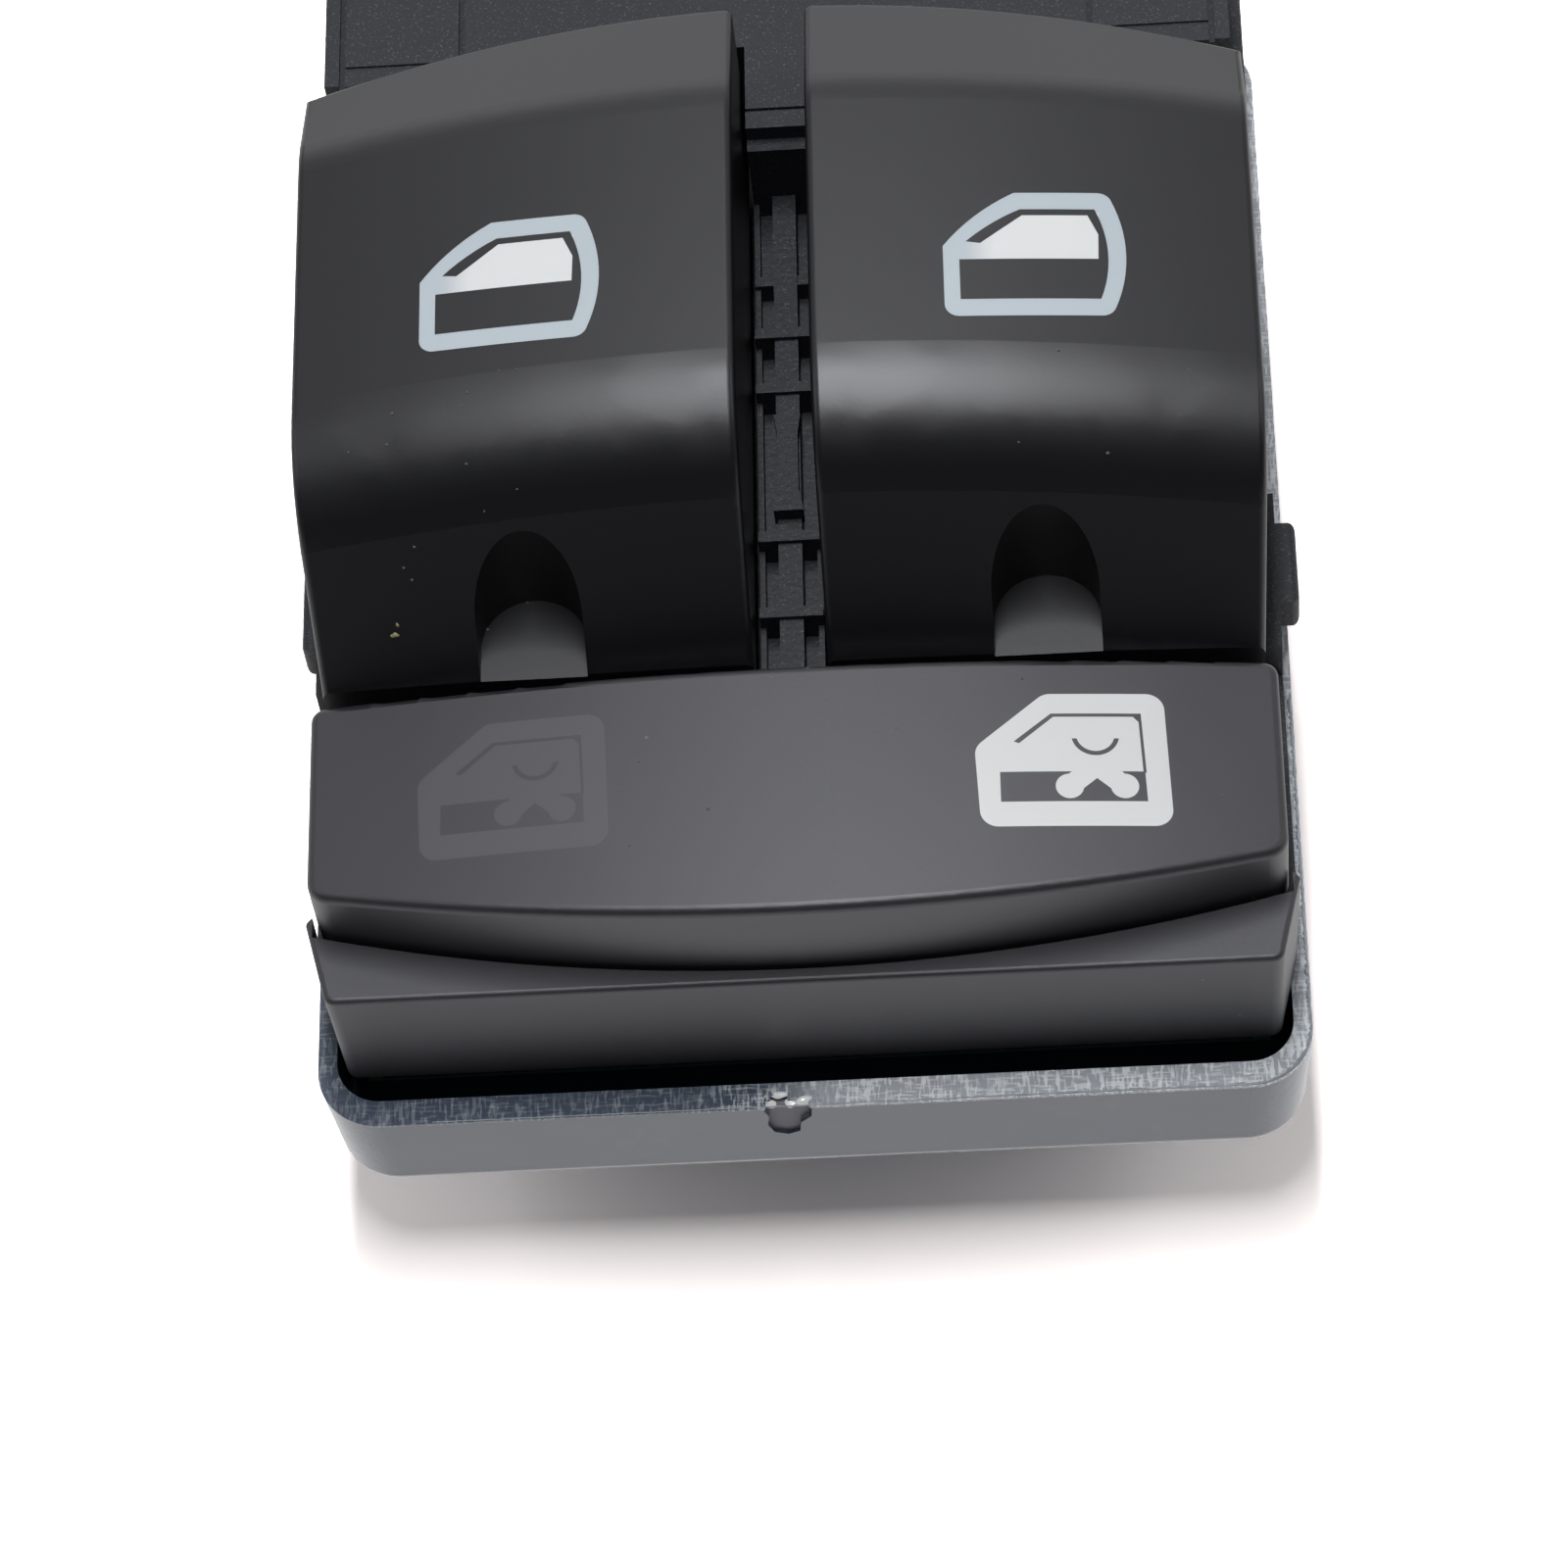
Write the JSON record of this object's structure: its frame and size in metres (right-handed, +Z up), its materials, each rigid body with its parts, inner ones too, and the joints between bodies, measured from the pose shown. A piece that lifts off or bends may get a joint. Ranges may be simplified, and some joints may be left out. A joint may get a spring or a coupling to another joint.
{
  "type": "power window switch",
  "caption": "Driver's power window switch: paired rockers with finger niches, a lock-out push bar and a connector socket underneath.",
  "frame": {"origin": "middle of the overall box at its underside", "axes": "+X to the driver's right, +Y away from the driver, +Z up out of the door trim"},
  "size_m": [0.064, 0.0804, 0.0508],
  "materials": {
    "tray_plastic": "semi-gloss black moulding, filed and scratched rim",
    "black_plastic": "fine-grained black moulding",
    "housing_plastic": "grained dark grey moulding",
    "soft_paint": "satin soft-touch anthracite paint",
    "bar_paint": "satin soft-touch anthracite paint, a little lighter",
    "symbol_white": "translucent white",
    "symbol_dim": "smoked grey, unlit",
    "white_plastic": "natural white moulding",
    "clear_plastic": "clear polished",
    "silicone": "matte translucent grey",
    "board": "green lacquered laminate",
    "chip_resin": "moulded resin",
    "lamp_white": "pale yellow resin",
    "contact_metal": "tin-plated brass",
    "steel": "bright zinc-plated"
  },
  "bodies": {
    "case": {"base_tray": "tray_plastic", "bottom_cover": "black_plastic", "case_screws": "steel", "board_screws": "steel", "circuit_board": "board", "dome_mat": "silicone", "controller_chip": "chip_resin", "lamps": "lamp_white", "chip_parts": "chip_resin", "terminal_pins": "contact_metal", "pin_header": "black_plastic", "upper_housing": "housing_plastic", "front_bezel": "soft_paint", "lock_bar_springs": "steel", "lock_light_guides": "clear_plastic", "left_pivot_pin": "steel", "right_pivot_pin": "steel", "left_light_guide": "clear_plastic", "right_light_guide": "clear_plastic"},
    "lock_button": {"lock_bar": "bar_paint", "lock_symbol_left": "symbol_dim", "lock_symbol_right": "symbol_white", "lock_bar_plunger": "white_plastic"},
    "left_switch": {"left_rocker": "soft_paint", "left_window_symbol": "symbol_white"},
    "right_switch": {"right_rocker": "soft_paint", "right_window_symbol": "symbol_white"},
    "left_near_push": {"left_near_plunger": "white_plastic"},
    "left_far_push": {"left_far_plunger": "white_plastic"},
    "right_near_push": {"right_near_plunger": "white_plastic"},
    "right_far_push": {"right_far_plunger": "white_plastic"}
  },
  "joints": [
    {"name": "left_rock", "type": "hinge", "parent": "case", "child": "left_switch", "pos_m": [-0.0158, -0.00145, 0.0385], "axis": [1, 0, 0], "range_deg": [-5, 5], "stiffness_Nm_per_rad": 0.2},
    {"name": "right_rock", "type": "hinge", "parent": "case", "child": "right_switch", "pos_m": [0.0158, -0.00145, 0.0385], "axis": [1, 0, 0], "range_deg": [-5, 5], "stiffness_Nm_per_rad": 0.2},
    {"name": "lock_push", "type": "slide", "parent": "case", "child": "lock_button", "axis": [0, 0, 1], "range_m": [-0.0012, 0], "stiffness_N_per_m": 800, "springref_m": 0.0005, "deforming": ["lock_bar_springs"]},
    {"name": "left_near_slide", "type": "slide", "parent": "case", "child": "left_near_push", "axis": [0, 0, 1], "range_m": [-0.0008, 0.0008]},
    {"name": "left_far_slide", "type": "slide", "parent": "case", "child": "left_far_push", "axis": [0, 0, 1], "range_m": [-0.0008, 0.0008]},
    {"name": "right_near_slide", "type": "slide", "parent": "case", "child": "right_near_push", "axis": [0, 0, 1], "range_m": [-0.0008, 0.0008]},
    {"name": "right_far_slide", "type": "slide", "parent": "case", "child": "right_far_push", "axis": [0, 0, 1], "range_m": [-0.0008, 0.0008]}
  ],
  "couplings": [
    {"joint": "left_near_slide", "follows": "left_rock", "m_per_rad": -0.009},
    {"joint": "left_far_slide", "follows": "left_rock", "m_per_rad": 0.009},
    {"joint": "right_near_slide", "follows": "right_rock", "m_per_rad": -0.009},
    {"joint": "right_far_slide", "follows": "right_rock", "m_per_rad": 0.009}
  ]
}
